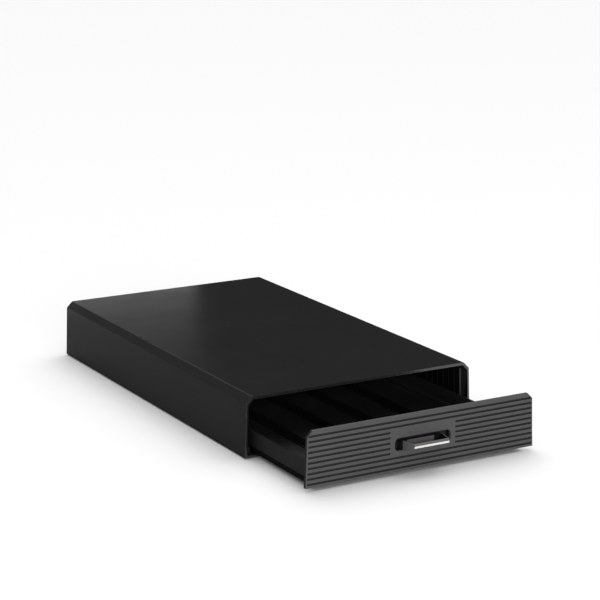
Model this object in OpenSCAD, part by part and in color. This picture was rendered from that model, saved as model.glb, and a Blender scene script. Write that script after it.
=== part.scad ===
// Coffee pod drawer: a low moulded housing that a coffee machine stands on,
// with a shallow inset drawer that slides out of its front.
// The drawer is drawn part open. X runs across, the front faces -Y, Z is up.

/* [Housing] */
// Width across the base
body_w = 250; // [225:1:300]
// Depth from the front edge to the rear wall
body_d = 415; // [370:1:480]
// Height of the moulded body above its feet
body_h = 58.5; // [55:0.5:75]
// How far each side leans in over the body's height
side_draft = 2.2; // [0:0.1:3.5]
// Size of the long chamfers beside the deck
top_chamfer = 6.3; // [5:0.1:8]
// Thickness of the side walls
side_wall = 2.1; // [1.8:0.1:2.6]
// Thickness of the deck
deck_wall = 3; // [2.4:0.1:4]
// Thickness through the long chamfers
chamfer_wall = 2.8; // [2.2:0.1:3.4]
// Thickness of the rear wall
rear_wall = 2.2; // [1.8:0.1:3]

/* [Deck ribs] */
// Depth of the ribs under the deck
deck_rib_h = 4; // [2:0.5:6]
// Thickness of every moulded rib
rib_t = 1.6; // [1.2:0.1:2]
// Number of ribs across the deck
deck_ribs_across = 6; // [3:1:8]
// Number of ribs along the deck
deck_ribs_along = 3; // [2:1:4]

/* [Base plate] */
// Thickness of the base plate
plate_t = 2.5; // [2.2:0.1:3]
// Gap between the plate and the shell
plate_gap = 0.2; // [0.1:0.05:0.4]
// Depth of the hollows under the plate
coffer_depth = 1; // [0.6:0.1:1.2]

/* [Feet] */
// Radius of a foot
foot_r = 7; // [5:0.5:9]
// How far a foot stands below the plate
foot_proud = 1; // [0.6:0.1:2]
// How deep a foot sits in the plate
foot_seat = 0.8; // [0.5:0.1:1.2]
// Distance from a side edge to a foot's centre
foot_inset_x = 20; // [18:1:30]
// Distance from the front or rear edge to a foot's centre
foot_inset_y = 18; // [14:1:22]

/* [Guide rails] */
// Distance from the front edge to the rails
rail_setback = 11; // [10.5:0.5:16]
// Thickness of a rail's walls
rail_wall = 1.7; // [1.4:0.1:1.9]
// Distance between the upright ribs of a rail
rail_rib_pitch = 9.8; // [8:0.2:20]
// How far those ribs stand out
rail_rib_out = 1; // [0.6:0.1:1.5]

/* [Drawer tray] */
// Space between the side wall and the tray
tray_side_gap = 6.9; // [6.5:0.1:9]
// Height of the tray's sides
tray_h = 21.6; // [19:0.2:30]
// Height of the set-in band along the tray's foot
band_h = 6.6; // [6:0.1:8]
// How far that band is set in
band_in = 2; // [1.6:0.1:2.4]
// Thickness of the tray's walls
tray_wall = 2; // [1.6:0.1:2.4]
// Thickness of the tray's floor
tray_floor = 2; // [1.6:0.1:3]
// Room behind the closed tray
rear_room = 8.8; // [8.4:0.1:14]

/* [Front panel] */
// Thickness of the front panel
panel_t = 3.2; // [3:0.1:4]
// Gap around the closed panel
panel_gap = 0.35; // [0.2:0.05:0.6]
// Distance between grooves
groove_pitch = 4.9; // [4:0.1:8]
// Width of a groove
groove_w = 1.9; // [1.2:0.1:2.4]
// Depth of a groove down to its half-round floor
groove_depth = 1.5; // [1.2:0.1:1.8]
// Plain strip above the highest groove
groove_top_land = 4.9; // [3:0.1:6]
// Plain strip at the ends of the grooves
groove_side_land = 1.5; // [1:0.1:4]
// Width of the plain field round the handle
field_w = 70; // [66:1:90]
// Height of the plain field
field_h = 25.3; // [22:0.1:28]
// Height of the field's centre above the panel's foot
field_up = 28.15; // [27:0.05:30]

/* [Handle] */
// Width of the slot in the panel
slot_w = 60; // [52:1:64]
// Height of the slot
slot_h = 12.2; // [11:0.1:14]
// Radius of the slot's corners
slot_r = 4.2; // [2:0.1:5]
// Height of the slot's centre above the panel's foot
slot_up = 25.1; // [24:0.1:27]
// Depth of the cup behind the panel's face
cup_depth = 8; // [7:0.1:9]
// Thickness of the cup's walls
cup_wall = 1.6; // [1.2:0.1:2]
// How far the pull stands out of the panel
pull_reach = 15; // [10:0.5:22]
// Width of the pull at its lip
pull_lip_w = 37.2; // [30:0.1:42]
// Width of the pull inside the cup
pull_root_w = 46.4; // [42:0.1:50]
// Height of the lip's face
pull_lip_h = 4.1; // [3.6:0.1:4.8]
// Thickness of the lip
pull_lip_t = 2.4; // [2.2:0.1:3]
// Radius along the lip's upper edge
lip_top_r = 1.9; // [0.6:0.1:2.2]
// Radius along the lip's lower edge
lip_low_r = 0.6; // [0.4:0.1:1]
// Height of the pull's rim above the slot's lower edge
pull_rim_up = 9; // [8.4:0.1:9.4]
// How far the rim falls from the panel to the root
pull_root_drop = 1.3; // [0.6:0.1:2]
// Wall of the pull beside and under its hollow
pull_wall = 1.2; // [1:0.1:1.6]
// Length of the solid root that the screws enter
pull_root_t = 4; // [3.5:0.1:5]

/* [Lane dividers] */
// Height of a divider
divider_h = 8; // [5:0.5:14]
// Thickness of a divider's web
divider_t = 1.6; // [1.2:0.1:2.4]
// Width of a divider's foot
divider_foot_w = 6; // [4:0.5:10]

/* [Travel] */
// How far the drawer is drawn open
rest_open = 107; // [0:1:240]
// Full travel from closed to the stop
full_travel = 300; // [240:5:310]

/* [Screws] */
// Radius of a screw's shank
screw_r = 1.2; // [1:0.05:1.3]
// Radius of a screw's head
screw_head_r = 2.6; // [2.2:0.1:2.8]
// Height of a screw's head
screw_head_h = 1.2; // [0.8:0.1:1.4]
// Radius of the bosses that the screws enter
boss_r = 2.6; // [2.3:0.1:2.8]

/* [Hidden] */

$fn = 48;
cut = 1;                 // how far a cutter runs past the face it opens
slide_gap = 0.2;         // up and down play of the drawer on its ledges
side_play = 0.3;         // sideways play of whatever slides
seat_gap = 0.1;          // rail to shell wall
screw_gap = 0.05;        // round a shank in its boss
screw_way = 0.3;         // round a shank in the piece it clamps
head_gap = 0.4;          // round a screw head
lean = side_draft / body_h;

// Levels
base_z = foot_proud;
plate_top = base_z + plate_t;
top_z = base_z + body_h;
deck_under = top_z - deck_wall;

// Housing, front to back
front_y = -(body_d - rest_open - pull_reach) / 2;
rear_y = front_y + body_d;
rear_in_y = rear_y - rear_wall;

// Half width of the shell's outside and inside at height z
function outer_x(z) = body_w / 2 - lean * (z - base_z);
function inner_x(z) = outer_x(z) - side_wall;

// The long chamfers run at 45 degrees, where x + z is constant
outer_k = outer_x(top_z) - top_chamfer + top_z;
inner_k = outer_k - chamfer_wall * sqrt(2);
panel_k = inner_k - panel_gap * sqrt(2);
function chamfer_foot(inset, k) = (k - body_w / 2 + inset - lean * base_z) / (1 - lean);

// Section of the body at a given inset, between two heights
function half_section(inset, low, high, k) =
    let (foot = chamfer_foot(inset, k))
    [[outer_x(low) - inset, low], [outer_x(foot) - inset, foot], [k - high, high]];
function both_sides(half) =
    concat(half, [for (i = [len(half) - 1:-1:0]) [-half[i][0], half[i][1]]]);

// Screws through the base plate
plate_seat_t = 1;                             // plate left above a screw head
plate_seat_z = plate_top - plate_seat_t;
plate_screw_len = 5.6;
pilot_extra = 0.4;                            // bore left beyond a screw's tip
head_edge = 1;                                // plate left beside a screw head
plate_half_w = inner_x(plate_top) - plate_gap;
plate_rear_y = rear_in_y - plate_gap;
front_boss_clear = 1.2;
shell_boss_x = plate_half_w - screw_head_r - head_gap - head_edge;
shell_boss_front_y = front_y + panel_t + front_boss_clear + boss_r;
shell_boss_rear_y = plate_rear_y - screw_head_r - head_gap - head_edge;
rear_boss_at = [-0.38, -0.13, 0.13, 0.38];    // share of the width
front_boss_spots = [for (s = [-1, 1]) [s * shell_boss_x, shell_boss_front_y]];
rear_boss_spots = [for (a = rear_boss_at) [a * body_w, shell_boss_rear_y]];
shell_boss_spots = concat(front_boss_spots, rear_boss_spots);

// Drawer levels and widths
tray_gap_z = 0.5;                             // room under the tray
tray_low = plate_top + tray_gap_z;
floor_top = tray_low + tray_floor;
shoulder_z = tray_low + band_h;
rim_z = tray_low + tray_h;
tray_x = inner_x(base_z) - tray_side_gap;
band_x = tray_x - band_in;
step_z = shoulder_z + 0.4;                    // inside foot of the sloping step
cove = 1.5;                                   // fillet between floor and side

// Drawer, front to back, as drawn
panel_y = front_y - rest_open;
panel_back_y = panel_y + panel_t;
tray_in_y = panel_back_y + tray_wall;
tray_rear_y = panel_y + body_d - rear_wall - rear_room;
tray_rear_in_y = tray_rear_y - tray_wall;

// Rails
ledge_z = shoulder_z - slide_gap;
ledge_x = band_x + side_play;
shoe_h = 7.4;
channel_top = ledge_z + slide_gap + shoe_h + side_play;
channel_lip_x = tray_x + 0.7;
rail_top = chamfer_foot(side_wall, inner_k) - 1;
rail_y = front_y + rail_setback;
rail_rear_y = rear_in_y - rear_room;
rail_screw_at = [0.07, 0.5, 0.93];            // share of the rail's length
rail_boss_x = (ledge_x + rail_wall + inner_x(plate_top) - seat_gap - rail_wall) / 2;
rail_boss_spots = [for (s = [-1, 1]) for (a = rail_screw_at)
    [s * rail_boss_x, rail_y + a * (rail_rear_y - rail_y)]];
function web_x(z) = inner_x(z) - seat_gap - rail_wall;

// Glide shoes
shoe_len = 15;
shoe_end = 4;                                 // tray left behind a shoe
shoe_out_x = web_x(channel_top) - side_play;
shoe_y = tray_rear_y - shoe_end - shoe_len;
peg_r = 1.8;
peg_barb = 0.3;
peg_barb_len = 1.4;
peg_z = shoulder_z + 4.8;
stop_t = 3;
stop_y = shoe_y + rest_open - full_travel - side_play;

// Front panel
panel_gap_z = 0.4;
panel_low = plate_top + panel_gap_z;
panel_high = deck_under - panel_gap_z;
groove_foot_land = 2.8;
groove_top_z = panel_high - groove_top_land;
groove_count = floor((groove_top_z - panel_low - groove_foot_land) / groove_pitch) + 1;
field_z = panel_low + field_up;
slot_z = panel_low + slot_up;
slot_low = slot_z - slot_h / 2;
panel_screw_at = [-0.36, -0.195, 0.195, 0.36]; // share of the width
panel_screw_z = panel_low + 12.1;
panel_boss_r = 3;
boss_play = 0.15;
panel_pilot = 3.4;
panel_screw_len = panel_pilot - pilot_extra;

// Cup and pull
cup_flange = 2.5;
cup_flange_t = 1.2;
cup_back_y = panel_y + cup_depth;
notch_gap = 0.5;
rim_top = slot_low + pull_rim_up;
pull_sill = 0.5;                              // room under the pull in the slot
pull_low = slot_low + pull_sill;
lip_y = panel_y - pull_reach;
handle_screw_x = 13;
handle_screw_z = (pull_low + rim_top) / 2;
handle_pilot = 3.2;

// Lanes
lanes = 5;
lane_pitch = 2 * (band_x - tray_wall) / lanes;
divider_foot_t = 1.2;
clip_t = 1.5;
clip_len = 4;
clip_play = 0.15;
divider_end_gap = 0.3;
function divider_x(i) = (i - lanes / 2) * lane_pitch;

shell_colour = "#2b2b2c";
panel_colour = "#515254";
tray_colour = "#262627";

// Extrudes an XZ section from y0 to y1
module along_y(y0, y1) {
    translate([0, y1, 0]) rotate([90, 0, 0]) linear_extrude(y1 - y0) children();
}

// Extrudes a YZ outline across the middle, w wide
module across(w) {
    rotate([90, 0, 90]) translate([0, 0, -w / 2]) linear_extrude(w) children();
}

module rounded_slot(w, h, r) {
    square([w, h - 2 * r], center = true);
    square([w - 2 * r, h], center = true);
    for (x = [-1, 1]) for (z = [-1, 1]) translate([x * (w / 2 - r), z * (h / 2 - r)]) circle(r);
}

// Screw with its seat at z = 0 and its shank upwards
module screw(length) {
    cross_w = screw_r * 0.5;
    difference() {
        union() {
            cylinder(r = screw_r, h = length);
            translate([0, 0, -screw_head_h]) cylinder(r = screw_head_r, h = screw_head_h);
        }
        for (a = [0, 90]) rotate([0, 0, a])
            translate([-screw_r, -cross_w / 2, -screw_head_h - cut])
                cube([2 * screw_r, cross_w, cut + screw_head_h / 2]);
    }
}

// Short boss under the shell; a web as long as reach joins it to the wall it stands by
module shell_boss(spot, turn, reach) {
    height = shoulder_z - 3 * slide_gap - plate_top;
    translate([spot[0], spot[1], plate_top]) difference() {
        union() {
            cylinder(r = boss_r, h = height);
            rotate([0, 0, turn]) translate([0, -rib_t / 2, 0]) cube([reach, rib_t, height]);
        }
        translate([0, 0, -cut])
            cylinder(r = screw_r + screw_gap, h = cut + plate_screw_len - plate_seat_t + pilot_extra);
    }
}

// Rib section between the long chamfers, hanging from the deck
module deck_rib_section() {
    low = deck_under - deck_rib_h;
    polygon(both_sides([[inner_k - low, low], [inner_k - deck_under, deck_under]]));
}

module deck_ribs() {
    first = front_y + rail_setback + rib_t;
    span = rear_in_y - first;
    for (i = [0:deck_ribs_across - 1]) {
        y = first + i * span / deck_ribs_across;
        along_y(y, y + rib_t) deck_rib_section();
    }
    for (i = [1:deck_ribs_along]) {
        x = (i / (deck_ribs_along + 1) - 0.5) * 2 * (inner_k - deck_under);
        translate([x - rib_t / 2, first, deck_under - deck_rib_h])
            cube([rib_t, span + cut, deck_rib_h + cut]);
    }
}

// Ribs on the rear wall that the closed tray comes up to
module rear_stops() {
    stop_gap = 0.3;
    for (s = [-1, 1])
        translate([s * body_w / 4 - rib_t / 2, rear_in_y - rear_room + stop_gap, floor_top])
            cube([rib_t, rear_room - stop_gap + cut, rim_z - floor_top]);
}

module housing_shell() {
    color(shell_colour) {
        difference() {
            along_y(front_y, rear_y) polygon(both_sides(half_section(0, base_z, top_z, outer_k)));
            along_y(front_y - cut, rear_in_y)
                polygon(both_sides(half_section(side_wall, base_z - cut, deck_under, inner_k)));
        }
        deck_ribs();
        rear_stops();
        for (spot = front_boss_spots)
            shell_boss(spot, spot[0] > 0 ? 0 : 180, inner_x(plate_top) - shell_boss_x + side_wall / 2);
        for (spot = rear_boss_spots)
            shell_boss(spot, 90, rear_in_y - shell_boss_rear_y + rear_wall / 2);
    }
}

module base_plate() {
    coffer_cols = 3;
    coffer_rows = 5;
    foot_land = 6;                            // full plate left beyond a foot
    coffer_edge = foot_inset_y + foot_r + foot_land;
    coffer_w = (body_w - 2 * (foot_inset_x + foot_r + foot_land)) / coffer_cols;
    coffer_l = (body_d - 2 * coffer_edge) / coffer_rows;
    color(shell_colour) difference() {
        along_y(front_y, plate_rear_y)
            polygon([[plate_half_w, plate_top], [inner_x(base_z) - plate_gap, base_z],
                     [-inner_x(base_z) + plate_gap, base_z], [-plate_half_w, plate_top]]);
        for (i = [0:coffer_cols - 1]) for (j = [0:coffer_rows - 1])
            translate([(i - coffer_cols / 2) * coffer_w + rib_t / 2,
                       front_y + coffer_edge + j * coffer_l + rib_t / 2, base_z - cut])
                cube([coffer_w - rib_t, coffer_l - rib_t, cut + coffer_depth]);
        for (spot = foot_spots)
            translate([spot[0], spot[1], base_z - cut]) cylinder(r = foot_r + plate_gap, h = cut + foot_seat);
        for (spot = concat(shell_boss_spots, rail_boss_spots)) translate([spot[0], spot[1], 0]) {
            cylinder(r = screw_r + screw_way, h = plate_top + cut);
            cylinder(r = screw_head_r + head_gap, h = plate_seat_z);
        }
    }
}

module plate_screws(spots) {
    color("#8f9092") for (spot = spots) translate([spot[0], spot[1], plate_seat_z]) screw(plate_screw_len);
}

module base_screws() plate_screws(shell_boss_spots);
module rail_screws() plate_screws(rail_boss_spots);

foot_spots = [for (y = [front_y + foot_inset_y, rear_y - foot_inset_y]) for (s = [-1, 1])
    [s * (body_w / 2 - foot_inset_x), y]];

// Turned rubber pad with a softened lower edge
module foot(spot) {
    edge = foot_proud / 2;
    color("#1b1b1b") translate([spot[0], spot[1], 0]) rotate_extrude()
        polygon([[0, 0], [foot_r - edge, 0], [foot_r, edge], [foot_r, foot_proud + foot_seat],
                 [0, foot_proud + foot_seat]]);
}

module foot_front_left() foot(foot_spots[0]);
module foot_front_right() foot(foot_spots[1]);
module foot_rear_left() foot(foot_spots[2]);
module foot_rear_right() foot(foot_spots[3]);

// Section of the right-hand rail: a web on the wall, a hollow ledge and a lip above the shoe
module rail_section() {
    ledge_under = ledge_z - rail_wall;
    lip_top = channel_top + rail_wall;
    function wall_x(z) = inner_x(z) - seat_gap;
    polygon([
        [wall_x(plate_top), plate_top], [wall_x(rail_top), rail_top], [web_x(rail_top), rail_top],
        [web_x(lip_top), lip_top], [channel_lip_x, lip_top],
        [channel_lip_x, channel_top], [web_x(channel_top), channel_top],
        [web_x(ledge_z), ledge_z], [ledge_x, ledge_z],
        [ledge_x, plate_top], [ledge_x + rail_wall, plate_top],
        [ledge_x + rail_wall, ledge_under], [web_x(ledge_under), ledge_under],
        [web_x(plate_top), plate_top]]);
}

// Section of one upright rib, backed by the leaning web
module rail_rib_section() {
    low = channel_top + rail_wall;
    root = rail_wall / 2;
    polygon([
        [web_x(low) - rail_rib_out, low], [web_x(low) + root, low],
        [web_x(rail_top) + root, rail_top], [web_x(rail_top) - rail_rib_out, rail_top]]);
}

module right_rail() {
    ribs = floor((rail_rear_y - rail_y) / rail_rib_pitch);
    rib_face = 1.2;
    ledge_under = ledge_z - rail_wall;
    color(shell_colour) difference() {
        union() {
            along_y(rail_y, rail_rear_y) rail_section();
            for (i = [1:ribs]) {
                y = rail_y + i * rail_rib_pitch - rib_face;
                along_y(y, y + rib_face) rail_rib_section();
            }
            translate([channel_lip_x, stop_y - stop_t, ledge_z - rail_wall / 2])
                cube([web_x(ledge_z) - channel_lip_x + rail_wall / 2, stop_t,
                      channel_top - ledge_z + rail_wall]);
            for (spot = rail_boss_spots) if (spot[0] > 0) translate([spot[0], spot[1], plate_top])
                cylinder(r = boss_r, h = ledge_under - plate_top + rail_wall / 2);
        }
        for (spot = rail_boss_spots) if (spot[0] > 0) translate([spot[0], spot[1], plate_top - cut])
            cylinder(r = screw_r + screw_gap, h = cut + plate_screw_len - plate_seat_t + pilot_extra);
    }
}

module guide_rail_right() right_rail();
module guide_rail_left() mirror([1, 0, 0]) right_rail();

// Shoe on the right rear corner of the tray, with a barbed peg through its side
module right_shoe() {
    lead = 0.8;
    low = shoulder_z - slide_gap / 4;
    color("#d8d5cb") {
        translate([0, 0, low]) linear_extrude(channel_top - side_play - low)
            polygon([[tray_x, shoe_y], [shoe_out_x - lead, shoe_y], [shoe_out_x, shoe_y + 2 * lead],
                     [shoe_out_x, shoe_y + shoe_len - 2 * lead], [shoe_out_x - lead, shoe_y + shoe_len],
                     [tray_x, shoe_y + shoe_len]]);
        translate([tray_x + lead, shoe_y + shoe_len / 2, peg_z]) rotate([0, -90, 0]) {
            cylinder(r = peg_r, h = tray_wall + lead + peg_barb_len);
            translate([0, 0, tray_wall + lead + screw_gap])
                cylinder(r1 = peg_r + peg_barb, r2 = peg_r, h = peg_barb_len);
        }
    }
}

module glide_shoe_right() right_shoe();
module glide_shoe_left() mirror([1, 0, 0]) right_shoe();

// Two nibs that hold the end of a divider, dir is the way they stand out of the wall
module divider_clip(x, wall_y, dir) {
    gap = divider_t / 2 + clip_play;
    for (s = [-1, 1])
        translate([x + (s > 0 ? gap : -gap - clip_t), dir > 0 ? wall_y - cut : wall_y - clip_len,
                   floor_top + divider_foot_t + clip_play])
            cube([clip_t, clip_len + cut, divider_h - divider_foot_t - clip_play]);
}

module drawer_tray() {
    outer = [[band_x, tray_low], [band_x, shoulder_z], [tray_x, shoulder_z], [tray_x, rim_z]];
    inner = [[band_x - tray_wall - cove, floor_top], [band_x - tray_wall, floor_top + cove],
             [band_x - tray_wall, step_z], [tray_x - tray_wall, step_z + band_in],
             [tray_x - tray_wall, rim_z + cut]];
    notch_w = slot_w + 2 * (cup_wall + cup_flange + notch_gap);
    notch_low = slot_low - cup_wall - cup_flange - notch_gap;
    color(tray_colour) difference() {
        union() {
            difference() {
                along_y(panel_back_y, tray_rear_y) polygon(both_sides(outer));
                along_y(tray_in_y, tray_rear_in_y) polygon(both_sides(inner));
            }
            for (i = [1:lanes - 1]) {
                divider_clip(divider_x(i), tray_in_y, 1);
                divider_clip(divider_x(i), tray_rear_in_y, -1);
            }
        }
        translate([-notch_w / 2, panel_back_y - cut, notch_low])
            cube([notch_w, tray_wall + 2 * cut, rim_z - notch_low + cut]);
        for (a = panel_screw_at) translate([a * body_w, panel_back_y - cut, panel_screw_z])
            rotate([-90, 0, 0]) cylinder(r = panel_boss_r + boss_play, h = tray_wall + 2 * cut);
        for (s = [-1, 1]) translate([s * (tray_x + cut), shoe_y + shoe_len / 2, peg_z])
            rotate([0, -s * 90, 0]) cylinder(r = peg_r + screw_gap, h = tray_wall + 2 * cut);
    }
}

// One groove with a half-round floor and square ends, from x0 to x1 on the panel's face
module groove(x0, x1, z) {
    r = groove_w / 2;
    translate([x0, panel_y, z]) rotate([90, 0, 90]) linear_extrude(x1 - x0) {
        translate([groove_depth - r, 0]) circle(r);
        translate([-cut, -r]) square([groove_depth - r + cut, groove_w]);
    }
}

module grooves() {
    for (i = [0:groove_count - 1]) {
        z = groove_top_z - i * groove_pitch;
        end = outer_x(z) - side_wall - panel_gap - groove_side_land;
        stop = field_w / 2;
        if (abs(z - field_z) < (field_h + groove_w) / 2) {
            groove(-end, -stop, z);
            groove(stop, end, z);
        } else {
            groove(-end, end, z);
        }
    }
}

module front_panel() {
    color(panel_colour) difference() {
        union() {
            along_y(panel_y, panel_back_y)
                polygon(both_sides(half_section(side_wall + panel_gap, panel_low, panel_high, panel_k)));
            for (a = panel_screw_at) translate([a * body_w, panel_back_y - cut, panel_screw_z])
                rotate([-90, 0, 0]) cylinder(r = panel_boss_r, h = tray_wall + cut);
        }
        grooves();
        along_y(panel_y - cut, panel_back_y + cut)
            translate([0, slot_z]) rounded_slot(slot_w, slot_h, slot_r);
        for (a = panel_screw_at) translate([a * body_w, tray_in_y + cut, panel_screw_z])
            rotate([90, 0, 0]) cylinder(r = screw_r + screw_gap, h = cut + panel_pilot);
    }
}

module panel_screws() {
    color("#8f9092") for (a = panel_screw_at) translate([a * body_w, tray_in_y, panel_screw_z])
        rotate([90, 0, 0]) screw(panel_screw_len);
}

module handle_cup() {
    outer_w = slot_w + 2 * cup_wall;
    outer_h = slot_h + 2 * cup_wall;
    outer_r = slot_r + cup_wall;
    color("#1d1d1e") difference() {
        translate([0, 0, slot_z]) {
            along_y(panel_back_y, cup_back_y + cup_wall) rounded_slot(outer_w, outer_h, outer_r);
            along_y(panel_back_y, panel_back_y + cup_flange_t)
                rounded_slot(outer_w + 2 * cup_flange, outer_h + 2 * cup_flange, outer_r + cup_flange);
        }
        translate([0, 0, slot_z])
            along_y(panel_back_y - cut, cup_back_y) rounded_slot(slot_w, slot_h, slot_r);
        for (s = [-1, 1]) translate([s * handle_screw_x, cup_back_y - cut, handle_screw_z])
            rotate([-90, 0, 0]) cylinder(r = screw_r + screw_way, h = cup_wall + 2 * cut);
    }
}

// Plan of the pull: narrower at the lip than at the root, inset all round by wall
module pull_plan(wall, back_y) {
    flare = (pull_root_w - pull_lip_w) / 2 / (cup_back_y - lip_y);
    function half_at(y) = pull_lip_w / 2 + flare * (y - lip_y) - wall;
    front = lip_y + wall;
    polygon([[-half_at(front), front], [half_at(front), front],
             [half_at(back_y), back_y], [-half_at(back_y), back_y]]);
}

// Side view of the pull: level rim that falls to the root, rising underside, lip rounded along its top
module pull_side() {
    lip_low = rim_top - pull_lip_h;
    root_top = rim_top - pull_root_drop;
    arc = [for (a = [0:10:90]) a];
    function behind_lip(r, share) = lip_y + r * (1 - share);
    polygon(concat(
        [for (a = arc) [behind_lip(lip_top_r, cos(a)), rim_top - lip_top_r * (1 - sin(a))]],
        [[panel_y, rim_top], [cup_back_y - pull_root_t, root_top], [cup_back_y, root_top],
         [cup_back_y, pull_low], [panel_y, pull_low]],
        [for (a = arc) [behind_lip(lip_low_r, sin(a)), lip_low + lip_low_r * (1 - cos(a))]]));
}

// Side view of the hollow, open above the rim
module pull_hollow_side() {
    back = cup_back_y - pull_root_t;
    front = lip_y + pull_lip_t;
    floor_front = rim_top - pull_lip_h + pull_wall;
    polygon([[front, rim_top + cut], [front, floor_front], [panel_y, pull_low + pull_wall],
             [back, pull_low + pull_wall], [back, rim_top + cut]]);
}

module pull_handle() {
    height = rim_top + 2 * cut;
    color("#8d8b85") difference() {
        intersection() {
            linear_extrude(height) pull_plan(0, cup_back_y);
            across(pull_root_w + cut) pull_side();
        }
        intersection() {
            linear_extrude(height) pull_plan(pull_wall, cup_back_y - pull_root_t);
            across(pull_root_w + cut) pull_hollow_side();
        }
        for (s = [-1, 1]) translate([s * handle_screw_x, cup_back_y + cut, handle_screw_z])
            rotate([90, 0, 0]) cylinder(r = screw_r + screw_gap, h = cut + handle_pilot);
    }
}

module handle_screws() {
    color("#8f9092") for (s = [-1, 1])
        translate([s * handle_screw_x, cup_back_y + cup_wall, handle_screw_z])
            rotate([90, 0, 0]) screw(cup_wall + handle_pilot - pilot_extra);
}

// Strip with a flat foot and a rounded top
module lane_divider(i) {
    y0 = tray_in_y + divider_end_gap;
    y1 = tray_rear_in_y - divider_end_gap;
    top = floor_top + divider_h;
    x = divider_x(i);
    color(tray_colour) {
        along_y(y0, y1) translate([x, 0]) {
            translate([-divider_foot_w / 2, floor_top]) square([divider_foot_w, divider_foot_t]);
            translate([-divider_t / 2, floor_top]) square([divider_t, divider_h - divider_t / 2]);
            translate([0, top - divider_t / 2]) circle(d = divider_t);
        }
    }
}

module lane_divider_1() lane_divider(1);
module lane_divider_2() lane_divider(2);
module lane_divider_3() lane_divider(3);
module lane_divider_4() lane_divider(4);

housing_shell();
base_plate();
guide_rail_left();
guide_rail_right();
base_screws();
rail_screws();
foot_front_left();
foot_front_right();
foot_rear_left();
foot_rear_right();
drawer_tray();
front_panel();
panel_screws();
handle_cup();
pull_handle();
handle_screws();
glide_shoe_left();
glide_shoe_right();
lane_divider_1();
lane_divider_2();
lane_divider_3();
lane_divider_4();
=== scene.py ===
import math

import bmesh
import bpy
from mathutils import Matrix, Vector
from mathutils.geometry import intersect_point_line


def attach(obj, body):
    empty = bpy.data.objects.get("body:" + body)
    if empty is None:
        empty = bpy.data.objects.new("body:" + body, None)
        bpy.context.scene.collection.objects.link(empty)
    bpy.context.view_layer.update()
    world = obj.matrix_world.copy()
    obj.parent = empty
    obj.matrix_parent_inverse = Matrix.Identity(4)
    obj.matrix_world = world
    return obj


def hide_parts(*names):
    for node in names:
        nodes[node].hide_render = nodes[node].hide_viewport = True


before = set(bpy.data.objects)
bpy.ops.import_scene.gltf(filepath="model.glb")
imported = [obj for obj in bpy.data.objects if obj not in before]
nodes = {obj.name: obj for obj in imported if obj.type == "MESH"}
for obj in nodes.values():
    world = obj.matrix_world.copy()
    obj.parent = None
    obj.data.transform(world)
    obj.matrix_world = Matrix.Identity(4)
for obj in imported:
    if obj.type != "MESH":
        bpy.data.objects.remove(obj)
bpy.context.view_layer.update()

millimetre = 0.001
near = 0.0001  # places closer than this, in millimetres, are the same
slack = 0.3  # how far past a size a face may lie, in millimetres, and still count as within it


def nodeBox(name):
    # how far a node reaches on each side, in millimetres
    places = [vert.co / millimetre for vert in nodes[name].data.vertices]
    box = {}
    for axis, (least, most) in enumerate((("left", "right"), ("front", "rear"), ("low", "high"))):
        box[least] = round(min(place[axis] for place in places), 2)
        box[most] = round(max(place[axis] for place in places), 2)
    return box


shellBox = nodeBox("housing_shell")
plateBox = nodeBox("base_plate")
railBox = nodeBox("guide_rail_left")
trayBox = nodeBox("drawer_tray")
panelBox = nodeBox("front_panel")
pullBox = nodeBox("pull_handle")


# small helpers for shaders

def newMaterial(name, shaderKind="ShaderNodeBsdfPrincipled"):
    material = bpy.data.materials.new(name)
    material.use_nodes = True
    tree = material.node_tree
    tree.nodes.clear()
    output = tree.nodes.new("ShaderNodeOutputMaterial")
    shader = tree.nodes.new(shaderKind)
    tree.links.new(shader.outputs["BSDF"], output.inputs["Surface"])
    return material, tree, shader


def objectPlace(tree, scale=(1, 1, 1)):
    place = tree.nodes.new("ShaderNodeTexCoord")
    mapping = tree.nodes.new("ShaderNodeMapping")
    mapping.inputs["Scale"].default_value = scale
    tree.links.new(place.outputs["Object"], mapping.inputs["Vector"])
    return mapping.outputs["Vector"]


def noise(tree, vector, scale, detail=2.0, roughness=0.5):
    node = tree.nodes.new("ShaderNodeTexNoise")
    node.inputs["Scale"].default_value = scale
    node.inputs["Detail"].default_value = detail
    node.inputs["Roughness"].default_value = roughness
    tree.links.new(vector, node.inputs["Vector"])
    return node.outputs["Fac"]


def ranged(tree, value, low, high, fromLow=0.0, fromHigh=1.0):
    node = tree.nodes.new("ShaderNodeMapRange")
    node.inputs["From Min"].default_value = fromLow
    node.inputs["From Max"].default_value = fromHigh
    node.inputs["To Min"].default_value = low
    node.inputs["To Max"].default_value = high
    tree.links.new(value, node.inputs["Value"])
    return node.outputs["Result"]


def maths(tree, kind, a, b):
    node = tree.nodes.new("ShaderNodeMath")
    node.operation = kind
    for socket, value in zip(node.inputs, (a, b)):
        if isinstance(value, (int, float)):
            socket.default_value = value
        else:
            tree.links.new(value, socket)
    return node.outputs["Value"]


def mixedColour(tree, factor, a, b):
    node = tree.nodes.new("ShaderNodeMix")
    node.data_type = "RGBA"
    # a mix node has sockets of every kind: 0, 6 and 7 are its factor and colours, and 2 gives the colour
    for socket, value in ((node.inputs[0], factor), (node.inputs[6], a), (node.inputs[7], b)):
        if isinstance(value, tuple):
            socket.default_value = (*value, 1.0)
        else:
            tree.links.new(value, socket)
    return node.outputs[2]


def bump(tree, height, depth, before=None):
    # depth in millimetres
    node = tree.nodes.new("ShaderNodeBump")
    node.inputs["Strength"].default_value = 1.0
    node.inputs["Distance"].default_value = depth * millimetre
    tree.links.new(height, node.inputs["Height"])
    if before is not None:
        tree.links.new(before, node.inputs["Normal"])
    return node.outputs["Normal"]


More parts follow.
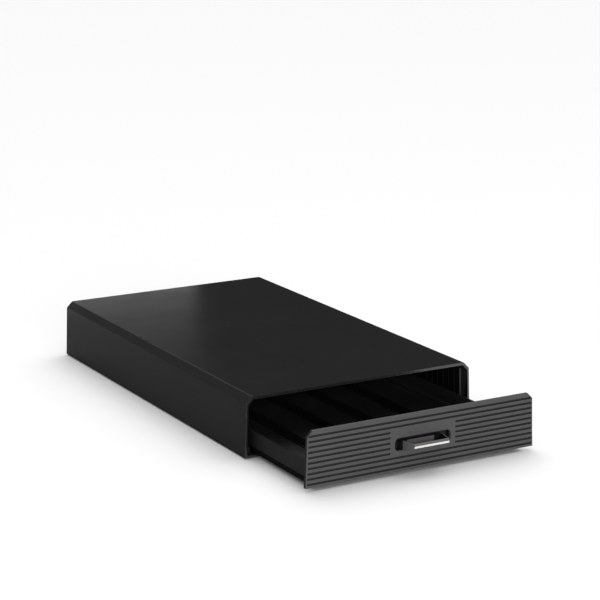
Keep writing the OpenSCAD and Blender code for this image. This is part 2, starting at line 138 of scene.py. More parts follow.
# what the moulded finishes have in common: each one below states only what differs
mouldedGrain = {
    "cloudScale": 16.0, "roughness": 0.5, "sheenSpread": 0.03, "specular": 0.06, "ior": 1.5,
    "grainScale": 2600.0, "grainDepth": 0.03, "rippleScale": 55.0, "rippleDepth": 0.01,
    "fleck": 0.12, "fleckShare": 0.31,
    "dust": 0.0, "dustScale": 34.0, "dustColour": (0.33, 0.32, 0.3), "dustDulls": 0.5}


def mouldedPlastic(name, changes):
    # fine spark-eroded grain over a slow ripple, with a cloudy sheen and a little dust on what faces up
    finish = {**mouldedGrain, **changes}
    material, tree, shader = newMaterial(name)
    place = objectPlace(tree)
    cloud = noise(tree, place, finish["cloudScale"], detail=3.0, roughness=0.55)
    grain = noise(tree, place, finish["grainScale"], detail=1.5, roughness=0.6)
    fleck = noise(tree, place, finish["grainScale"] * finish["fleckShare"], roughness=0.6)

    geometry = tree.nodes.new("ShaderNodeNewGeometry")
    apart = tree.nodes.new("ShaderNodeSeparateXYZ")
    tree.links.new(geometry.outputs["Normal"], apart.inputs["Vector"])
    facingUp = ranged(tree, apart.outputs["Z"], 0.0, 1.0, fromLow=0.5)
    dustNoise = noise(tree, place, finish["dustScale"], detail=4.0, roughness=0.65)
    dustCloud = ranged(tree, dustNoise, 0.0, 1.0, fromLow=0.35, fromHigh=0.75)
    dust = maths(tree, "MULTIPLY", maths(tree, "MULTIPLY", facingUp, dustCloud), finish["dust"])

    clouded = ranged(tree, cloud, 0.0, 1.0, fromLow=0.3, fromHigh=0.7)
    colour = mixedColour(tree, clouded, finish["dark"], finish["light"])
    flecked = ranged(tree, fleck, 0.0, finish["fleck"], fromLow=0.45, fromHigh=0.8)
    colour = mixedColour(tree, flecked, colour, finish["fleckColour"])
    colour = mixedColour(tree, dust, colour, finish["dustColour"])
    tree.links.new(colour, shader.inputs["Base Color"])

    dull, spread = finish["roughness"], finish["sheenSpread"]
    sheen = ranged(tree, cloud, dull - spread, dull + spread, fromLow=0.3, fromHigh=0.7)
    dusty = maths(tree, "MULTIPLY", dust, finish["dustDulls"])
    tree.links.new(maths(tree, "ADD", sheen, dusty), shader.inputs["Roughness"])
    shader.inputs["IOR"].default_value = finish["ior"]
    shader.inputs["Specular IOR Level"].default_value = finish["specular"]
    ripple = bump(tree, noise(tree, place, finish["rippleScale"]), finish["rippleDepth"])
    tree.links.new(bump(tree, grain, finish["grainDepth"], before=ripple), shader.inputs["Normal"])
    return material


shellPlastic = mouldedPlastic("shell_plastic", {
    "dark": (0.0168, 0.0168, 0.0172), "light": (0.0187, 0.0187, 0.0192),
    "fleckColour": (0.038, 0.038, 0.039), "grainDepth": 0.035, "rippleDepth": 0.02,
    "roughness": 0.32, "sheenSpread": 0.04, "specular": 0.02, "dust": 0.004})

railPlastic = mouldedPlastic("rail_plastic", {
    "dark": (0.0095, 0.0095, 0.0098), "light": (0.0125, 0.0125, 0.0128),
    "fleckColour": (0.03, 0.03, 0.0305), "cloudScale": 24.0, "grainScale": 2400.0,
    "rippleDepth": 0.02, "sheenSpread": 0.04, "dust": 0.02})

# painted highlight: the long creases are painted paler than the shell, standing in for the light line along
# them
creaseHighlightPlastic = mouldedPlastic("crease_painted_highlight", {
    "dark": (0.0290, 0.0290, 0.0295), "light": (0.0320, 0.0320, 0.0325),
    "fleckColour": (0.045, 0.045, 0.046), "grainDepth": 0.02,
    "roughness": 0.30, "sheenSpread": 0.04, "specular": 0.04})

rimPlastic = mouldedPlastic("rim_plastic", {
    "dark": (0.0120, 0.0120, 0.0123), "light": (0.0145, 0.0145, 0.0149),
    "fleckColour": (0.038, 0.038, 0.039), "grainDepth": 0.02, "roughness": 0.25, "specular": 1.0})

# painted light: the housing's inner walls are made paler than the shell, standing in for light that does
# not reach them
innerLitPlastic = mouldedPlastic("inner_painted_light", {
    "dark": (0.036, 0.036, 0.0365), "light": (0.043, 0.043, 0.0435),
    "fleckColour": (0.06, 0.06, 0.061), "roughness": 0.6})

panelGrain = {"cloudScale": 18.0, "grainScale": 2900.0, "rippleDepth": 0.012, "fleck": 0.15, "dust": 0.01}

panelPlastic = mouldedPlastic("panel_plastic", {
    **panelGrain, "dark": (0.092, 0.0925, 0.0935), "light": (0.102, 0.1025, 0.1035),
    "fleckColour": (0.13, 0.13, 0.132), "roughness": 0.52, "specular": 0.15})

# painted shade: the grooves are darker than the lands, standing in for the shadow inside them
grooveShadePlastic = mouldedPlastic("groove_painted_shade", {
    **panelGrain, "dark": (0.034, 0.034, 0.0345), "light": (0.041, 0.041, 0.0415),
    "fleckColour": (0.05, 0.05, 0.051), "roughness": 0.62})

trayGrain = {"cloudScale": 20.0, "grainScale": 2300.0, "rippleDepth": 0.02}

trayPlastic = mouldedPlastic("tray_plastic", {
    **trayGrain, "dark": (0.0135, 0.0135, 0.0138), "light": (0.0170, 0.0170, 0.0174),
    "fleckColour": (0.03, 0.03, 0.031), "sheenSpread": 0.04, "specular": 0.04, "dust": 0.03})

# painted light: the tray's inside is made paler than its outside, standing in for light in its shade
trayInnerLitPlastic = mouldedPlastic("tray_inner_painted_light", {
    **trayGrain, "dark": (0.033, 0.033, 0.0335), "light": (0.039, 0.039, 0.0395),
    "fleckColour": (0.055, 0.055, 0.056), "roughness": 0.55, "sheenSpread": 0.04,
    "specular": 0.08, "dust": 0.03})

# painted shade: the set-in foot band is made near black, standing in for the shadow under the tray's
# shoulder
bandShadePlastic = mouldedPlastic("band_painted_shade", {
    **trayGrain, "dark": (0.0050, 0.0050, 0.0052), "light": (0.0066, 0.0066, 0.0068),
    "fleckColour": (0.012, 0.012, 0.0122), "roughness": 0.7, "specular": 0.02})

cupPlastic = mouldedPlastic("cup_plastic", {
    "dark": (0.0095, 0.0095, 0.0100), "light": (0.0125, 0.0125, 0.0130), "fleckColour": (0.03, 0.03, 0.031),
    "cloudScale": 60.0, "fleck": 0.15, "specular": 0.4, "dust": 0.01})

# a paler grey patch on the back of the pull's hollow
paleHollowPlastic = mouldedPlastic("pale_hollow_patch", {
    "dark": (0.160, 0.160, 0.161), "light": (0.180, 0.180, 0.181), "fleckColour": (0.2, 0.2, 0.201),
    "cloudScale": 70.0, "grainDepth": 0.02, "roughness": 0.42, "specular": 0.15, "dust": 0.01})

shoePlastic = mouldedPlastic("shoe_plastic", {
    "dark": (0.60, 0.585, 0.54), "light": (0.66, 0.645, 0.60), "fleckColour": (0.55, 0.53, 0.48),
    "cloudScale": 90.0, "grainScale": 1800.0, "grainDepth": 0.01, "fleck": 0.1,
    "roughness": 0.32, "sheenSpread": 0.04, "specular": 0.5})

satinMetal = mouldedPlastic("satin_metal", {
    "dark": (0.130, 0.129, 0.126), "light": (0.150, 0.149, 0.146), "fleckColour": (0.2, 0.2, 0.197),
    "cloudScale": 70.0, "grainScale": 3000.0, "grainDepth": 0.015,
    "roughness": 0.4, "specular": 0.3, "dust": 0.01})


def aroundRoughness(tree, value, finish):
    dull = finish["roughness"]
    return ranged(tree, value, dull - finish["smoother"], dull + finish["duller"])


# strokes run across the drawer
brushing = {"stretch": (14, 900, 900), "strokeScale": 4.0, "smoother": 0.06, "duller": 0.08,
            "cloudScale": 90.0, "cloudSpread": 0.03}


def brushedMetal(name, changes):
    finish = {**brushing, **changes}
    material, tree, shader = newMaterial(name)
    stretched = objectPlace(tree, finish["stretch"])
    strokes = noise(tree, stretched, finish["strokeScale"], detail=4.0, roughness=0.6)
    cloud = noise(tree, objectPlace(tree), finish["cloudScale"])
    tree.links.new(mixedColour(tree, strokes, finish["dark"], finish["light"]), shader.inputs["Base Color"])
    shader.inputs["Metallic"].default_value = 1.0
    sheen = aroundRoughness(tree, strokes, finish)
    cloudSheen = ranged(tree, cloud, -finish["cloudSpread"], finish["cloudSpread"])
    tree.links.new(maths(tree, "ADD", sheen, cloudSheen), shader.inputs["Roughness"])
    tree.links.new(bump(tree, strokes, finish["strokeDepth"]), shader.inputs["Normal"])
    return material


pullMetal = brushedMetal("pull_metal", {
    "dark": (0.78, 0.77, 0.75), "light": (0.88, 0.87, 0.85), "roughness": 0.14, "strokeDepth": 0.002})

screwSteel = brushedMetal("screw_steel", {
    "dark": (0.46, 0.46, 0.47), "light": (0.58, 0.58, 0.59), "roughness": 0.34, "strokeDepth": 0.004})


def scuffedRubber(name, finish):
    material, tree, shader = newMaterial(name)
    place = objectPlace(tree)
    scuff = noise(tree, place, finish["scuffScale"], detail=3.0, roughness=0.6)
    tree.links.new(mixedColour(tree, scuff, finish["dark"], finish["light"]), shader.inputs["Base Color"])
    tree.links.new(aroundRoughness(tree, scuff, finish), shader.inputs["Roughness"])
    grain = bump(tree, noise(tree, place, finish["grainScale"]), finish["grainDepth"])
    tree.links.new(grain, shader.inputs["Normal"])
    return material


footRubber = scuffedRubber("foot_rubber", {
    "dark": (0.0100, 0.0100, 0.0100), "light": (0.0170, 0.0170, 0.0165),
    "roughness": 0.78, "smoother": 0.08, "duller": 0.06,
    "scuffScale": 260.0, "grainScale": 2400.0, "grainDepth": 0.02})

print("finishes ready")


# moulded pieces: the solids with their sharp edges broken as a mould leaves them

def inScene(name, data):
    thing = bpy.data.objects.new(name, data)
    bpy.context.scene.collection.objects.link(thing)
    return thing


def finishPiece(piece, nodeName, body, finish):
    level = piece.modifiers.new("level faces", "WEIGHTED_NORMAL")
    level.weight = 100
    level.keep_sharp = True
    piece.data.materials.append(finish)
    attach(piece, body)
    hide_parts(nodeName)
    print("made", piece.name)


def roundEdges(bm, edges, width, segments, clamp=False):
    bmesh.ops.bevel(bm, geom=edges, offset=width, offset_type="OFFSET", segments=segments, profile=0.5,
                    affect="EDGES", clamp_overlap=clamp, material=-1)


def roomBeside(edge, pastEnds, endShare=0.02):
    # how far the faces on both sides reach before another corner comes, past the edge's ends too if asked
    start, end = edge.verts[0].co, edge.verts[1].co
    room = math.inf
    for face in edge.link_faces:
        for vert in face.verts:
            if vert not in edge.verts:
                share = intersect_point_line(vert.co, start, end)[1]
                if pastEnds or -endShare < share < 1.0 + endShare:
                    nearest = start.lerp(end, min(1.0, max(0.0, share)))
                    room = min(room, (vert.co - nearest).length)
    return room


def roundCreases(bm, crease):
    # the two long creases beside the deck are rounder than the other edges
    creases = [e for e in bm.edges if len(e.link_faces) == 2
               and e.calc_length() > crease["leastLength"] * millimetre
               and all(v.co.z > (shellBox["high"] - crease["belowDeck"]) * millimetre for v in e.verts)
               and crease["leastAngle"] < math.degrees(e.calc_face_angle()) < crease["mostAngle"]]
    roundEdges(bm, creases, crease["width"] * millimetre, crease["segments"])
    print("long creases rounded:", len(creases))


def mouldedCopy(nodeName, body, finish, edges):
    mesh = bpy.data.meshes.new(nodeName + "_moulded")
    bm = bmesh.new()
    bm.from_mesh(nodes[nodeName].data)
    bmesh.ops.remove_doubles(bm, verts=bm.verts, dist=edges["merge"] * millimetre)
    bmesh.ops.dissolve_limit(bm, angle_limit=math.radians(edges["flat"]), verts=bm.verts, edges=bm.edges)
    if "crease" in edges:
        roundCreases(bm, edges["crease"])
    weight = bm.edges.layers.float.new("bevel_weight_edge")
    fullRoom = edges["room"] * edges["radius"] * millimetre
    for edge in bm.edges:
        if len(edge.link_faces) == 2 and edge.calc_face_angle() > math.radians(edges["angle"]):
            share = min(1.0, roomBeside(edge, edges["pastEnds"]) / fullRoom)
            broken = share > edges["leastShare"]
            edge[weight] = share if broken else 0.0
            edge.smooth = broken
    for face in bm.faces:
        face.smooth = True
    bm.to_mesh(mesh)
    bm.free()
    piece = inScene(nodeName + "_moulded", mesh)
    bevel = piece.modifiers.new("broken edges", "BEVEL")
    bevel.width = edges["radius"] * millimetre
    bevel.segments = edges["segments"]
    bevel.limit_method = "WEIGHT"
    bevel.use_clamp_overlap = False
    finishPiece(piece, nodeName, body, finish)


# lengths in millimetres, angles in degrees; an edge with less than leastShare of its room stays sharp
plainEdges = {
    "merge": 0.002, "flat": 0.4, "angle": 28, "radius": 0.25, "segments": 2,
    "room": 2.5, "leastShare": 0.25, "pastEnds": True}
longCrease = {
    "width": 0.8, "segments": 3, "leastLength": 300, "belowDeck": 0.5, "leastAngle": 30, "mostAngle": 60}
mouldedEdges = {
    "housing_shell": ("housing", shellPlastic, "shell_plastic", {"radius": 0.3, "crease": longCrease}),
    "base_plate": ("housing", shellPlastic, "shell_plastic", {"room": 4.0}),
    "guide_rail_left": ("housing", railPlastic, "shell_plastic", {"radius": 0.2}),
    "guide_rail_right": ("housing", railPlastic, "shell_plastic", {"radius": 0.2}),
    "drawer_tray": ("drawer", trayPlastic, "tray_plastic", {"radius": 0.3}),
    "handle_cup": ("drawer", cupPlastic, "cup_plastic", {}),
    "pull_handle": ("drawer", satinMetal, "pull_metal", {"segments": 3, "pastEnds": False}),
}
for nodeName, (body, finish, slotName, edges) in mouldedEdges.items():
    mouldedCopy(nodeName, body, finish, {**plainEdges, **edges})


def cutFaces(bm, faces, place, normal, dist=near):
    parts = {*faces, *(e for f in faces for e in f.edges), *(v for f in faces for v in f.verts)}
    bmesh.ops.bisect_plane(bm, geom=list(parts), dist=dist, plane_co=place, plane_no=normal)


def sliceMesh(piece, cuts, chosen=lambda middle, normal: True):
    bm = bmesh.new()
    bm.from_mesh(piece.data)
    for place, normal in cuts:
        faces = [f for f in bm.faces if chosen(f.calc_center_bounds() / millimetre, f.normal)]
        cutFaces(bm, faces, Vector(place) * millimetre, normal, near * millimetre)
    bm.to_mesh(piece.data)
    bm.free()


def refinishFaces(piece, finish, chosen):
    piece.data.materials.append(finish)
    last = len(piece.data.materials) - 1
    count = 0
    for face in piece.data.polygons:
        if chosen(face.center / millimetre, face.normal):
            face.material_index = last
            count += 1
    print(piece.name, "refinished faces:", count)


def facesFront(normal, least=0.9):
    return normal.y < -least


# the pull: polished lip, satin sides, painted shade behind the panel and in its hollow, and a paler grey
# patch in the hollow
pullShape = {
    "lipHalf": 18.6, "flare": 0.2, "wall": 1.2, "lipThickness": 2.4, "play": 0.1,
    "polishDepth": 0.9, "polishDrop": 1.9,  # behind the lip's face, and under the rim
    "patchHalf": 14.5, "patchDrop": 1.3,
    "rimNormal": 0.995, "sideNormal": 0.5}


def pullHalf(y):
    return pullShape["lipHalf"] + pullShape["flare"] * (y - pullBox["front"])


def inHollow(middle, normal):
    return (abs(middle.x) < pullHalf(middle.y) - pullShape["wall"] + pullShape["play"]
            and middle.y > pullBox["front"] + pullShape["lipThickness"] - pullShape["play"]
            and middle.z > pullBox["low"] + pullShape["wall"] - pullShape["play"]
            and normal.z < pullShape["rimNormal"])


def isPolished(middle, normal):
    return (middle.y < pullBox["front"] + pullShape["polishDepth"]
            and middle.z < pullBox["high"] - pullShape["polishDrop"] + pullShape["play"])


# painted shade: the pull behind the panel and in its hollow takes the dark cup finish where shade falls
def isShadedPull(middle, normal):
    return middle.y > panelBox["front"] or inHollow(middle, normal)


def isPalePatch(middle, normal):
    return (inHollow(middle, normal) and abs(middle.x) < pullShape["patchHalf"]
            and middle.z < pullBox["high"] - pullShape["patchDrop"]
            and abs(normal.x) < pullShape["sideNormal"])


pullPiece = bpy.data.objects["pull_handle_moulded"]
sliceMesh(pullPiece, [((0, panelBox["front"], 0), (0, 1, 0)),
                      ((0, 0, pullBox["high"] - pullShape["patchDrop"]), (0, 0, 1)),
                      ((pullShape["patchHalf"], 0, 0), (1, 0, 0)),
                      ((-pullShape["patchHalf"], 0, 0), (1, 0, 0))])
refinishFaces(pullPiece, cupPlastic, isShadedPull)
refinishFaces(pullPiece, paleHollowPlastic, isPalePatch)
refinishFaces(pullPiece, pullMetal, isPolished)

# the housing is matt and painted paler inside as painted light, its low bosses darker as painted shade,
# smooth on its front rim, and paler along its long creases as a painted highlight
housingShape = {
    "sideWall": 2.1, "rearWall": 2.2, "deckWall": 3.0, "abovePlate": 0.1, "bossTop": 16.0,
    "creaseDrop": 1.0, "creaseNormal": (0.05, 0.66), "floorNormal": 0.3}


def isRim(middle, normal):
    return facesFront(normal) and middle.y < shellBox["front"] + slack


def isInner(middle, normal):
    return (abs(middle.x) < shellBox["right"] - housingShape["sideWall"]
            and middle.y < shellBox["rear"] - housingShape["rearWall"] + slack
            and middle.z > plateBox["high"] + housingShape["abovePlate"]
            and middle.z < shellBox["high"] - housingShape["deckWall"] + slack
            and normal.z < housingShape["floorNormal"] and not isRim(middle, normal))


# painted shade: the low bosses inside take the darker rail finish where shade falls
def isShadedBoss(middle, normal):
    return isInner(middle, normal) and middle.z < housingShape["bossTop"]


# the faces of the long creases, which take the painted highlight
def isPaintedCreaseHighlight(middle, normal):
    least, most = housingShape["creaseNormal"]
    return middle.z > shellBox["high"] - housingShape["creaseDrop"] and least < abs(normal.x) < most


for finish, chosen in ((innerLitPlastic, isInner), (railPlastic, isShadedBoss), (creaseHighlightPlastic, isPaintedCreaseHighlight)):
    refinishFaces(bpy.data.objects["housing_shell_moulded"], finish, chosen)
for name in ("housing_shell_moulded", "base_plate_moulded"):
    refinishFaces(bpy.data.objects[name], rimPlastic, isRim)

# the tray is painted paler inside as painted light, and its set-in foot band is dead matt and painted near
# black as painted shade
trayShape = {"wall": 2.0, "floor": 2.0, "bandIn": 2.0, "bandHeight": 6.6, "levelNormal": 0.01}


def outward(middle, normal):
    return normal.x * math.copysign(1.0, middle.x)


def isTrayInner(middle, normal):
    return (abs(middle.x) < trayBox["right"] - trayShape["wall"] + slack
            and trayBox["front"] + trayShape["wall"] - slack < middle.y
            and middle.y < trayBox["rear"] - trayShape["wall"] + slack
            and trayBox["low"] + trayShape["floor"] - slack < middle.z < trayBox["high"] - slack
            and outward(middle, normal) < trayShape["levelNormal"])


def isBand(middle, normal):
    return (abs(middle.x) > trayBox["right"] - trayShape["bandIn"] - slack
            and middle.z < trayBox["low"] + trayShape["bandHeight"] + slack
            and outward(middle, normal) > -trayShape["levelNormal"])


trayPiece = bpy.data.objects["drawer_tray_moulded"]
refinishFaces(trayPiece, trayInnerLitPlastic, isTrayInner)
refinishFaces(trayPiece, bandShadePlastic, isBand)

# the rails' webs are painted paler at their front ends above the channel, in the panel's grey, as painted
# light
channelTop = 21.0


def isRailEnd(middle, normal):
    return facesFront(normal) and middle.y < railBox["front"] + slack


def isLitRailEnd(middle, normal):
    return isRailEnd(middle, normal) and middle.z > channelTop


for side in ("left", "right"):
    rail = bpy.data.objects["guide_rail_%s_moulded" % side]
    sliceMesh(rail, [((0, 0, channelTop), (0, 0, 1))], isRailEnd)
    refinishFaces(rail, panelPlastic, isLitRailEnd)


# front panel: plate with rounded grooves, a plain field and the slot for the pull
frontPanel = {
    "face": panelBox["front"], "low": panelBox["low"], "high": panelBox["high"], "thickness": 3.2,
    "lowHalf": panelBox["right"], "shoulderHalf": 120.675, "shoulder": 50.87, "highHalf": 115.445,
    "grooves": 10, "topLand": 4.9, "endLand": 1.5,
    "groovePitch": 4.9, "grooveWidth": 1.9, "grooveDepth": 1.5, "grooveRound": 0.8, "grooveSteps": 4,
    "fieldHalf": 35.0, "fieldRows": (2, 6),  # the field interrupts these rows, counted from the top
    "slotHalf": 30.0, "slotLow": 22.9, "slotHigh": 35.1, "slotRadius": 4.2, "slotSteps": 8,
    "bossAt": (-90.0, -48.75, 48.75, 90.0), "bossHeight": 16.0, "bossRadius": 3.0, "bossLength": 2.0,
    "boreRadius": 1.25, "bossSunk": 0.4, "bossSteps": 40,
    "edgeAngle": 35, "edgeRadius": 0.24, "edgeSteps": 3, "smoothAngle": 50,
    "touching": 0.01, "merge": 0.001, "endNormal": 0.5}


def facesWithin(bm, x0, x1, z0, z1):
    inside = []
    for face in bm.faces:
        middle = face.calc_center_bounds()
        if x0 < middle.x < x1 and z0 < middle.z < z1:
            inside.append(face)
    return inside


def outlineFace(bm, size):
    # the whole front, with a plain land parted off at each end
    half = [(size["lowHalf"], size["low"]), (size["shoulderHalf"], size["shoulder"]),
            (size["highHalf"], size["high"])]
    outline = half + [(-x, z) for x, z in reversed(half)]
    bm.faces.new([bm.verts.new((x, size["face"], z)) for x, z in outline])
    slope = (size["lowHalf"] - size["shoulderHalf"]) / (size["shoulder"] - size["low"])
    inner = size["lowHalf"] - size["endLand"]
    for side in (-1, 1):
        cutFaces(bm, bm.faces[:], (side * inner, 0, size["low"]), (side, 0, slope))


def partGroove(bm, size, z, within):
    for edge in (z - size["grooveWidth"] / 2, z + size["grooveWidth"] / 2):
        cutFaces(bm, facesWithin(bm, *within), (0, 0, edge), (0, 0, 1))


def partFront(bm, size, rows):
    # lines for the grooves, for the plain field that interrupts some of them, and for the slot in the field
    first, last = size["fieldRows"]
    across, side = size["highHalf"], size["fieldHalf"]
    low = rows[last + 1] + size["grooveWidth"] / 2
    high = rows[first - 1] - size["grooveWidth"] / 2
    for z in rows[:first] + rows[last + 1:]:
        partGroove(bm, size, z, (-across, across, size["low"], size["high"]))
    for x in (-side, side):
        cutFaces(bm, facesWithin(bm, -across, across, low, high), (x, 0, 0), (1, 0, 0))
    for z in rows[first:last + 1]:
        partGroove(bm, size, z, (-across, -side, low, high))
        partGroove(bm, size, z, (side, across, low, high))
    for x in (-size["slotHalf"], size["slotHalf"]):
        cutFaces(bm, facesWithin(bm, -side, side, low, high), (x, 0, 0), (1, 0, 0))
    for z in (size["slotLow"], size["slotHigh"]):
        cutFaces(bm, facesWithin(bm, -side, side, low, high), (0, 0, z), (0, 0, 1))


def sinkGrooves(bm, size, rows):
    half = size["grooveWidth"] / 2
    grooves = [f for z in rows for f in bm.faces
               if all(abs(abs(v.co.z - z) - half) < size["touching"] for v in f.verts)]
    floors = bmesh.ops.extrude_discrete_faces(bm, faces=grooves)["faces"]
    # the groove floors and walls take the second finish, the painted shade
    for edge in {e for f in floors for e in f.edges}:
        for face in edge.link_faces:
            face.material_index = 1
    sunk = list({v for f in floors for v in f.verts})
    bmesh.ops.translate(bm, verts=sunk, vec=(0, size["grooveDepth"], 0))
    level = [e for f in floors for e in f.edges
             if abs(e.verts[0].co.z - e.verts[1].co.z) < size["touching"]]
    roundEdges(bm, level, size["grooveRound"], size["grooveSteps"])


def thickenPlate(bm, size):
    # the slot and the outline run back through the plate, then one face closes its back
    slot = facesWithin(bm, -size["slotHalf"], size["slotHalf"], size["slotLow"], size["slotHigh"])
    slotBack = bmesh.ops.extrude_discrete_faces(bm, faces=slot)["faces"]
    corners = [v for f in slotBack for v in f.verts]
    outline = bmesh.ops.extrude_edge_only(bm, edges=[e for e in bm.edges if e.is_boundary])["geom"]
    moved = corners + [part for part in outline if isinstance(part, bmesh.types.BMVert)]
    bmesh.ops.translate(bm, verts=moved, vec=(0, size["thickness"], 0))
    bmesh.ops.delete(bm, geom=slotBack, context="FACES_ONLY")
    through = [e for v in corners for e in v.link_edges
               if abs(e.verts[0].co.y - e.verts[1].co.y) > size["touching"]]
    roundEdges(bm, through, size["slotRadius"], size["slotSteps"])
    bmesh.ops.triangle_fill(bm, use_beauty=True, use_dissolve=False,
                            edges=[e for e in bm.edges if e.is_boundary])
    bmesh.ops.remove_doubles(bm, verts=bm.verts, dist=size["merge"])
    bmesh.ops.recalc_face_normals(bm, faces=bm.faces)


def breakFrontEdges(bm, size):
    sharp = [e for e in bm.edges if len(e.link_faces) == 2
             and e.calc_face_angle() > math.radians(size["edgeAngle"])
             and all(v.co.y < size["face"] + size["touching"] for v in e.verts)]
    roundEdges(bm, sharp, size["edgeRadius"], size["edgeSteps"], clamp=True)


def addBosses(bm, size):
    back = size["face"] + size["thickness"]
    foot, tip = back - size["bossSunk"], back + size["bossLength"]
    inner, outer = size["boreRadius"], size["bossRadius"]
    for x in size["bossAt"]:
        ring = [bm.verts.new((x + radius, y, size["bossHeight"]))
                for radius, y in ((inner, foot), (outer, foot), (outer, tip), (inner, tip))]
        loop = [bm.edges.new((ring[i], ring[i - 1])) for i in range(len(ring))]
        bmesh.ops.spin(bm, geom=ring + loop, cent=(x, back, size["bossHeight"]), axis=(0, 1, 0),
                       angle=math.tau, steps=size["bossSteps"], use_merge=True)
    bmesh.ops.recalc_face_normals(bm, faces=bm.faces)


def groovedPanel(size, finish, grooveShade):
    rows = [size["high"] - size["topLand"] - i * size["groovePitch"] for i in range(size["grooves"])]
    bm = bmesh.new()
    outlineFace(bm, size)
    partFront(bm, size, rows)
    sinkGrooves(bm, size, rows)
    thickenPlate(bm, size)
    breakFrontEdges(bm, size)
    addBosses(bm, size)
    bmesh.ops.scale(bm, vec=(millimetre,) * 3, verts=bm.verts)
    for face in bm.faces:
        face.smooth = True
    mesh = bpy.data.meshes.new("front_panel_grooved")
    bm.to_mesh(mesh)
    bm.free()
    mesh.set_sharp_from_angle(angle=math.radians(size["smoothAngle"]))
    piece = inScene("front_panel_grooved", mesh)
    finishPiece(piece, "front_panel", "drawer", finish)
    mesh.materials.append(grooveShade)
    return piece


# painted shade: the panel's side ends take the tray's darker finish
def isShadedPanelEnd(middle, normal):
    return (abs(normal.x) > frontPanel["endNormal"] and abs(middle.x) > frontPanel["highHalf"]
            and middle.y > frontPanel["face"] + frontPanel["edgeRadius"])


panelPiece = groovedPanel(frontPanel, panelPlastic, grooveShadePlastic)
refinishFaces(panelPiece, trayPlastic, isShadedPanelEnd)  # its ends are painted as dark as the tray, as painted shade

plainFinishes = {
    screwSteel: ("base_screws", "rail_screws", "panel_screws", "handle_screws"),
    footRubber: ("foot_front_left", "foot_front_right", "foot_rear_left", "foot_rear_right"),
    shoePlastic: ("glide_shoe_left", "glide_shoe_right"),
    trayPlastic: ("lane_divider_1", "lane_divider_2", "lane_divider_3", "lane_divider_4"),
}
for finish, names in plainFinishes.items():
    for name in names:
        piece = nodes[name]
        if not piece.material_slots:
            piece.data.materials.append(finish)
        for holder in piece.material_slots:
            holder.material = finish
print("small pieces finished")


# floor, light and camera
studioFloor = {"size": 8.0, "seenWhite": 0.97, "bounceWhite": 0.5}


def seenRays(tree):
    path = tree.nodes.new("ShaderNodeLightPath")
    seen = maths(tree, "MAXIMUM", path.outputs["Is Camera Ray"], path.outputs["Is Glossy Ray"])
    return maths(tree, "MAXIMUM", seen, path.outputs["Is Transmission Ray"])


def paleFloor(settings):
    bm = bmesh.new()
    bmesh.ops.create_grid(bm, x_segments=1, y_segments=1, size=settings["size"])
    mesh = bpy.data.meshes.new("floor")
    bm.to_mesh(mesh)
    bm.free()
    floor = inScene("floor", mesh)
    material, tree, diffuse = newMaterial("pale_floor", "ShaderNodeBsdfDiffuse")
    # white to look at, while it throws less light back up
    bounce, seen = (settings["bounceWhite"],) * 3, (settings["seenWhite"],) * 3
    tree.links.new(mixedColour(tree, seenRays(tree), bounce, seen), diffuse.inputs["Color"])
    mesh.materials.append(material)


# the studio is dim along the horizon and bright overhead, and dimmer still in a gloss
studioDome = {"dim": 0.14, "dimBelow": 0.42, "bright": 0.8, "brightAbove": 0.85, "glossShare": 0.25}


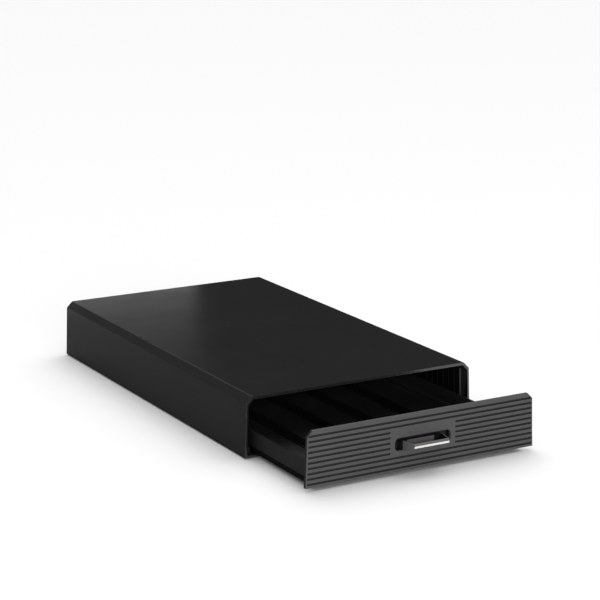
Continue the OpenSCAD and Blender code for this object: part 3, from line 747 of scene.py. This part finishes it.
def studioWorld(light):
    world = bpy.data.worlds.new("studio")
    bpy.context.scene.world = world
    world.use_nodes = True
    tree = world.node_tree
    tree.nodes.clear()
    output = tree.nodes.new("ShaderNodeOutputWorld")
    background = tree.nodes.new("ShaderNodeBackground")
    tree.links.new(background.outputs["Background"], output.inputs["Surface"])
    place = tree.nodes.new("ShaderNodeTexCoord")
    apart = tree.nodes.new("ShaderNodeSeparateXYZ")
    tree.links.new(place.outputs["Generated"], apart.inputs["Vector"])
    dome = ranged(tree, apart.outputs["Z"], light["dim"], light["bright"],
                  fromLow=light["dimBelow"], fromHigh=light["brightAbove"])
    path = tree.nodes.new("ShaderNodeLightPath")
    gloss = ranged(tree, path.outputs["Is Glossy Ray"], 1.0, light["glossShare"])
    white = maths(tree, "MAXIMUM", path.outputs["Is Camera Ray"], path.outputs["Is Transmission Ray"])
    strength = maths(tree, "MAXIMUM", white, maths(tree, "MULTIPLY", dome, gloss))
    background.inputs["Color"].default_value = (1.0, 1.0, 1.0, 1.0)
    tree.links.new(strength, background.inputs["Strength"])


def softBox(name, place, target, size, power):
    lamp = bpy.data.lights.new(name, "AREA")
    lamp.shape = "RECTANGLE"
    lamp.size, lamp.size_y = size
    lamp.energy = power
    box = inScene(name, lamp)
    box.location = place
    box.rotation_euler = (Vector(target) - Vector(place)).to_track_quat("-Z", "Y").to_euler()
    box.visible_camera = False
    return box


def softSun(name, direction, strength, angle):
    lamp = bpy.data.lights.new(name, "SUN")
    lamp.energy = strength
    lamp.angle = math.radians(angle)
    sun = inScene(name, lamp)
    sun.rotation_euler = Vector(direction).to_track_quat("-Z", "Y").to_euler()
    sun.visible_glossy = False


studioWorld(studioDome)
paleFloor(studioFloor)
softSun("skyPanel", direction=(-0.5, -0.55, -1.0), strength=1.75, angle=80)
softBox("frontKey", place=(-1.2, -4.3, 0.95), target=(0.0, -0.2, 0.03), size=(3.0, 1.8), power=100)
# two cards that only show in a gloss: one behind for the deck, one behind and above for the chamfers
rearCard = softBox("rearCard", place=(-0.1, 0.5, 0.06), target=(-0.1, 0.0, 0.06),
                   size=(0.5, 0.12), power=0.42)
highCard = softBox("highCard", place=(-0.4, 0.85, 0.6), target=(-0.12, 0.05, 0.05),
                   size=(1.4, 0.5), power=1.7)
for card in (rearCard, highCard):
    card.visible_diffuse = False

cameraSettings = {"place": (-0.9395, -1.6728, 0.5836), "turn": (75.98, 0.0, -29.76), "lens": 118.45,
                  "sensor": 36.0, "nearest": 0.05}


def studioCamera(settings):
    data = bpy.data.cameras.new("camera")
    data.lens = settings["lens"]
    data.sensor_width = settings["sensor"]
    data.clip_start = settings["nearest"]
    camera = inScene("camera", data)
    camera.location = settings["place"]
    camera.rotation_euler = [math.radians(a) for a in settings["turn"]]
    bpy.context.scene.camera = camera


studioCamera(cameraSettings)
bpy.context.scene.view_settings.view_transform = "Standard"
print("studio ready")
